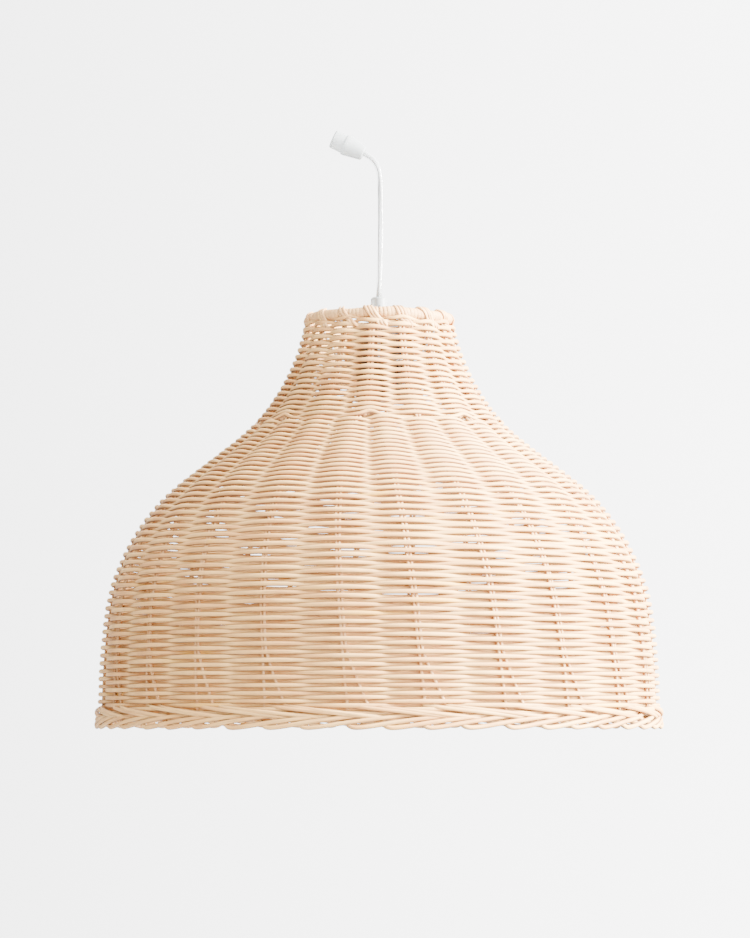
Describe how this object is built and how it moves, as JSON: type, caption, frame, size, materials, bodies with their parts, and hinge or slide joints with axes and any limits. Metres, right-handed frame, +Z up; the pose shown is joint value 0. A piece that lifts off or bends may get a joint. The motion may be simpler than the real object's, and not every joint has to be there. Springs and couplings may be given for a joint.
{
  "type": "woven pendant lamp shade",
  "caption": "Bell-shaped woven reed pendant shade with a rolled border, hung on its clear cord from an arm plug, with lampholder and spider inside.",
  "frame": {"origin": "centre of the arm plug's shoulder, where it seats in the end of the lamp arm's tube", "axes": "+Z up with the shade hanging at rest; +X from the arm plug towards the shade's axis"},
  "size_m": [0.4999, 0.5, 0.5341],
  "materials": {
    "reed": "natural satin",
    "stake": "natural matte",
    "border": "natural satin",
    "peel": "natural satin",
    "wire": "zinc plated",
    "black_plastic": "moulded, satin",
    "insulator": "matte",
    "brass": "satin",
    "frosted_plastic": "translucent, frosted",
    "cord_jacket": "clear gloss",
    "core_jacket": "satin"
  },
  "bodies": {
    "arm_plug": {"arm_plug": "frosted_plastic"},
    "cord": {"cord": "cord_jacket"},
    "lampholder": {"cord_grip": "frosted_plastic", "grip_screw": "frosted_plastic", "grip_nut": "frosted_plastic", "holder_cap": "black_plastic", "conductor_cores": "core_jacket", "terminal_block": "insulator", "terminal_screws": "brass", "insulating_sleeve": "insulator", "screw_shell": "brass", "centre_contact": "brass", "holder_barrel": "black_plastic"},
    "shade_ring": {"shade_ring": "black_plastic"},
    "shade": {"border_loops": "border", "border_roll": "border", "left_branch_stakes_01": "stake", "left_branch_stakes_02": "stake", "left_branch_stakes_03": "stake", "left_branch_stakes_04": "stake", "left_branch_stakes_05": "stake", "left_branch_stakes_06": "stake", "left_branch_stakes_07": "stake", "left_branch_stakes_08": "stake", "long_stakes_01": "stake", "long_stakes_02": "stake", "long_stakes_03": "stake", "long_stakes_04": "stake", "long_stakes_05": "stake", "long_stakes_06": "stake", "long_stakes_07": "stake", "long_stakes_08": "stake", "neck_stakes_01": "stake", "neck_stakes_02": "stake", "neck_stakes_03": "stake", "neck_stakes_04": "stake", "neck_stakes_05": "stake", "neck_stakes_06": "stake", "neck_stakes_07": "stake", "neck_stakes_08": "stake", "neck_weave_inner": "reed", "neck_weave_outer": "reed", "right_branch_stakes_01": "stake", "right_branch_stakes_02": "stake", "right_branch_stakes_03": "stake", "right_branch_stakes_04": "stake", "right_branch_stakes_05": "stake", "right_branch_stakes_06": "stake", "right_branch_stakes_07": "stake", "right_branch_stakes_08": "stake", "shoulder_weave_inner": "reed", "shoulder_weave_outer": "reed", "skirt_weave_inner": "reed", "skirt_weave_outer": "reed", "spider_arm_1": "wire", "spider_arm_2": "wire", "spider_arm_3": "wire", "spider_hub": "wire", "top_ring_wire": "wire", "top_ring_wrap": "peel"}
  },
  "joints": [
    {"name": "cord_swing", "type": "hinge", "parent": "arm_plug", "child": "cord", "pos_m": [0.03041, 0, -0.0297], "axis": [0, 1, 0], "range_deg": [-25, 25], "deforming": ["cord"]},
    {"name": "shade_tilt", "type": "hinge", "parent": "cord", "child": "lampholder", "pos_m": [0.03041, 0, -0.1382], "axis": [1, 0, 0], "range_deg": [-12, 12]},
    {"name": "shade_turn", "type": "hinge", "parent": "lampholder", "child": "shade", "pos_m": [0.03041, 0, -0.1958], "axis": [0, 0, 1], "continuous": true},
    {"name": "shade_ring_release", "type": "slide", "parent": "lampholder", "child": "shade_ring", "axis": [0, 0, -1], "range_m": [0, 0.034]}
  ]
}
